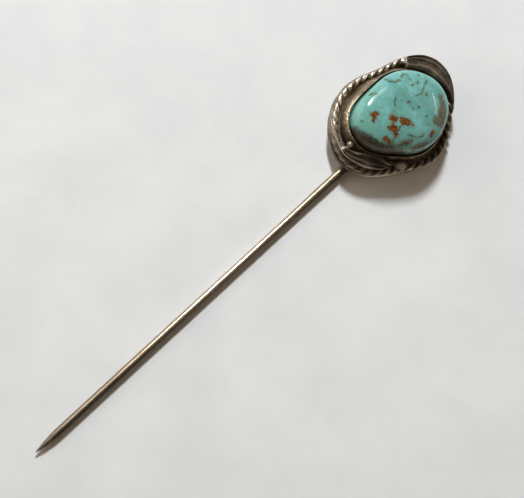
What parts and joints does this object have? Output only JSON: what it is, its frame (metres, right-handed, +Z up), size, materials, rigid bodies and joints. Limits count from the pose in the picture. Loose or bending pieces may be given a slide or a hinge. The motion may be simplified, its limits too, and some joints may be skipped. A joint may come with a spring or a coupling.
{
  "type": "stick pin",
  "caption": "Straight stick pin with an oval domed stone in a bezel, framed by twisted wire and stamped leaves; the pointed stem holds a tie, scarf or lapel.",
  "frame": {"origin": "on the stem's axis, where the free round stem meets the head's rim", "axes": "+Y from the pin's point to the top of its head, +Z up from the table that the pin lies on, stone upward; the stem's free end points along -Y"},
  "size_m": [0.0157, 0.0754, 0.0067],
  "materials": {
    "plate_silver": "sheet silver, oxidised brown-grey and rubbed bright at its edge",
    "bezel_silver": "burnished silver strip, dull brown in its folds",
    "shim_card": "plain uncoated card",
    "turquoise": "polished turquoise with rust-brown matrix",
    "wire_silver": "twisted silver wire, bright on the crowns and black in the grooves",
    "leaf_silver": "stamped silver, oxidised in the grooves",
    "stem_wire": "drawn white-metal wire, slightly yellowed",
    "solder": "dull grey silver solder"
  },
  "bodies": {
    "root": {"backplate": "plate_silver", "bezel": "bezel_silver", "stone_shim": "shim_card", "stone": "turquoise", "rope_strand_a": "wire_silver", "rope_strand_b": "wire_silver", "leaf_upper": "leaf_silver", "leaf_lower": "leaf_silver", "raindrop": "leaf_silver", "shot_bead": "leaf_silver", "stem": "stem_wire", "stem_solder": "solder"}
  },
  "joints": []
}
